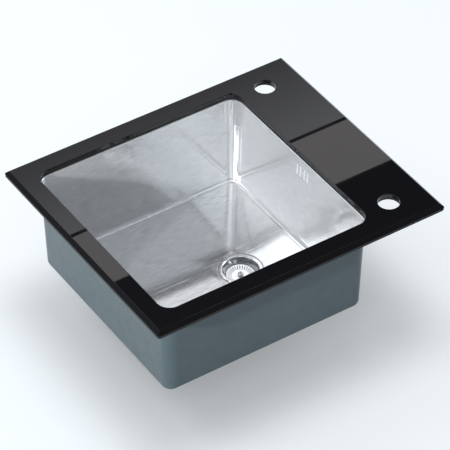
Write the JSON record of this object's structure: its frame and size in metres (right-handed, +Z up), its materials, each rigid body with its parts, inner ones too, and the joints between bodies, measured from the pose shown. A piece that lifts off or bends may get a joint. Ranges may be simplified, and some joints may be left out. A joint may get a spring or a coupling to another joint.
{
  "type": "kitchen sink",
  "caption": "Inset kitchen sink: black glass deck with tap holes on a wing, square steel bowl with overflow slots, lift-out basket strainer and swinging fixing clips.",
  "frame": {"origin": "middle of the deck's plan, at the level of the worktop's surface, where the middle of the worktop cut-out goes", "axes": "+X along the deck's long side to the wing with the tap holes, +Y to the back, +Z up out of the worktop"},
  "size_m": [0.6, 0.51, 0.303],
  "materials": {
    "black_glass": "black tempered glass, polished",
    "bond": "cured black adhesive",
    "frame_black": "black moulded frame, satin",
    "seal_black": "black foam seal",
    "bowl_steel": "satin stainless steel",
    "pad_grey": "grey damping pad",
    "strainer_steel": "polished stainless steel",
    "knob_chrome": "chromed knob",
    "post_steel": "turned stainless steel",
    "gasket_black": "black rubber",
    "ring_white": "white slip ring",
    "nut_white": "white moulded plastic",
    "block_alloy": "extruded aluminium",
    "screw_zinc": "zinc-plated steel",
    "pawl_zinc": "zinc-plated pressed steel"
  },
  "bodies": {
    "root": {"glass_deck": "black_glass", "glass_bond": "bond", "support_frame": "frame_black", "worktop_seal": "seal_black", "bowl": "bowl_steel", "bowl_bond": "bond", "sound_pads": "pad_grey", "strainer_body": "strainer_steel", "flange_gasket": "gasket_black", "under_gasket": "gasket_black", "friction_ring": "ring_white", "lock_nut": "nut_white", "tail_washer": "gasket_black", "tailpiece": "nut_white", "coupling_nut": "nut_white", "clip_blocks": "block_alloy"},
    "basket_body": {"basket": "strainer_steel", "basket_knob": "knob_chrome", "basket_post": "post_steel", "stopper_seal": "gasket_black", "seal_clip": "post_steel"},
    "clip_1": {"clip_screw_1": "screw_zinc"},
    "pawl_1": {"clip_pawl_1": "pawl_zinc"},
    "clip_2": {"clip_screw_2": "screw_zinc"},
    "pawl_2": {"clip_pawl_2": "pawl_zinc"},
    "clip_3": {"clip_screw_3": "screw_zinc"},
    "pawl_3": {"clip_pawl_3": "pawl_zinc"},
    "clip_4": {"clip_screw_4": "screw_zinc"},
    "pawl_4": {"clip_pawl_4": "pawl_zinc"},
    "clip_5": {"clip_screw_5": "screw_zinc"},
    "pawl_5": {"clip_pawl_5": "pawl_zinc"},
    "clip_6": {"clip_screw_6": "screw_zinc"},
    "pawl_6": {"clip_pawl_6": "pawl_zinc"},
    "clip_7": {"clip_screw_7": "screw_zinc"},
    "pawl_7": {"clip_pawl_7": "pawl_zinc"},
    "clip_8": {"clip_screw_8": "screw_zinc"},
    "pawl_8": {"clip_pawl_8": "pawl_zinc"}
  },
  "joints": [
    {"name": "basket_lift", "type": "slide", "parent": "root", "child": "basket_body", "axis": [0, 0, 1], "range_m": [0, 0.26]},
    {"name": "clip_1_draw", "type": "slide", "parent": "root", "child": "clip_1", "axis": [0, 0, 1], "range_m": [-0.008, 0]},
    {"name": "pawl_1_swing", "type": "hinge", "parent": "clip_1", "child": "pawl_1", "pos_m": [-0.165, -0.232, -0.0136], "axis": [0, 0, 1], "range_deg": [0, 90]},
    {"name": "clip_2_draw", "type": "slide", "parent": "root", "child": "clip_2", "axis": [0, 0, 1], "range_m": [-0.008, 0]},
    {"name": "pawl_2_swing", "type": "hinge", "parent": "clip_2", "child": "pawl_2", "pos_m": [0.165, -0.232, -0.0136], "axis": [0, 0, 1], "range_deg": [0, 90]},
    {"name": "clip_3_draw", "type": "slide", "parent": "root", "child": "clip_3", "axis": [0, 0, 1], "range_m": [-0.008, 0]},
    {"name": "pawl_3_swing", "type": "hinge", "parent": "clip_3", "child": "pawl_3", "pos_m": [0.278, -0.12, -0.0136], "axis": [0, 0, 1], "range_deg": [0, 90]},
    {"name": "clip_4_draw", "type": "slide", "parent": "root", "child": "clip_4", "axis": [0, 0, 1], "range_m": [-0.008, 0]},
    {"name": "pawl_4_swing", "type": "hinge", "parent": "clip_4", "child": "pawl_4", "pos_m": [0.278, 0.12, -0.0136], "axis": [0, 0, 1], "range_deg": [0, 90]},
    {"name": "clip_5_draw", "type": "slide", "parent": "root", "child": "clip_5", "axis": [0, 0, 1], "range_m": [-0.008, 0]},
    {"name": "pawl_5_swing", "type": "hinge", "parent": "clip_5", "child": "pawl_5", "pos_m": [0.165, 0.232, -0.0136], "axis": [0, 0, 1], "range_deg": [0, 90]},
    {"name": "clip_6_draw", "type": "slide", "parent": "root", "child": "clip_6", "axis": [0, 0, 1], "range_m": [-0.008, 0]},
    {"name": "pawl_6_swing", "type": "hinge", "parent": "clip_6", "child": "pawl_6", "pos_m": [-0.165, 0.232, -0.0136], "axis": [0, 0, 1], "range_deg": [0, 90]},
    {"name": "clip_7_draw", "type": "slide", "parent": "root", "child": "clip_7", "axis": [0, 0, 1], "range_m": [-0.008, 0]},
    {"name": "pawl_7_swing", "type": "hinge", "parent": "clip_7", "child": "pawl_7", "pos_m": [-0.278, 0.12, -0.0136], "axis": [0, 0, 1], "range_deg": [0, 90]},
    {"name": "clip_8_draw", "type": "slide", "parent": "root", "child": "clip_8", "axis": [0, 0, 1], "range_m": [-0.008, 0]},
    {"name": "pawl_8_swing", "type": "hinge", "parent": "clip_8", "child": "pawl_8", "pos_m": [-0.278, -0.12, -0.0136], "axis": [0, 0, 1], "range_deg": [0, 90]}
  ]
}
